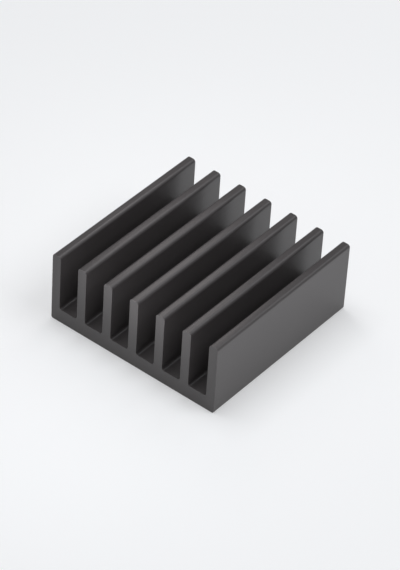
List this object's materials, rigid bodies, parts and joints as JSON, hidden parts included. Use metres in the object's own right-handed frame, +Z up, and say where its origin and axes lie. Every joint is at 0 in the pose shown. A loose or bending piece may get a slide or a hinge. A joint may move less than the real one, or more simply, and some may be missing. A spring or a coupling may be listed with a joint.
{
  "type": "heat sink",
  "caption": "Small square extruded heat sink: a flat base with straight parallel cooling fins, black anodised, bonded by its plain underside to a hot component.",
  "frame": {"origin": "centre of the flat underside, on the mounting face", "axes": "+Z up from the mounting face to the fin tips, Y along the fins, X across them"},
  "size_m": [0.025, 0.025, 0.01],
  "materials": {
    "anodised_aluminium": "black anodised, satin"
  },
  "bodies": {
    "root": {"heat_sink": "anodised_aluminium"}
  },
  "joints": []
}
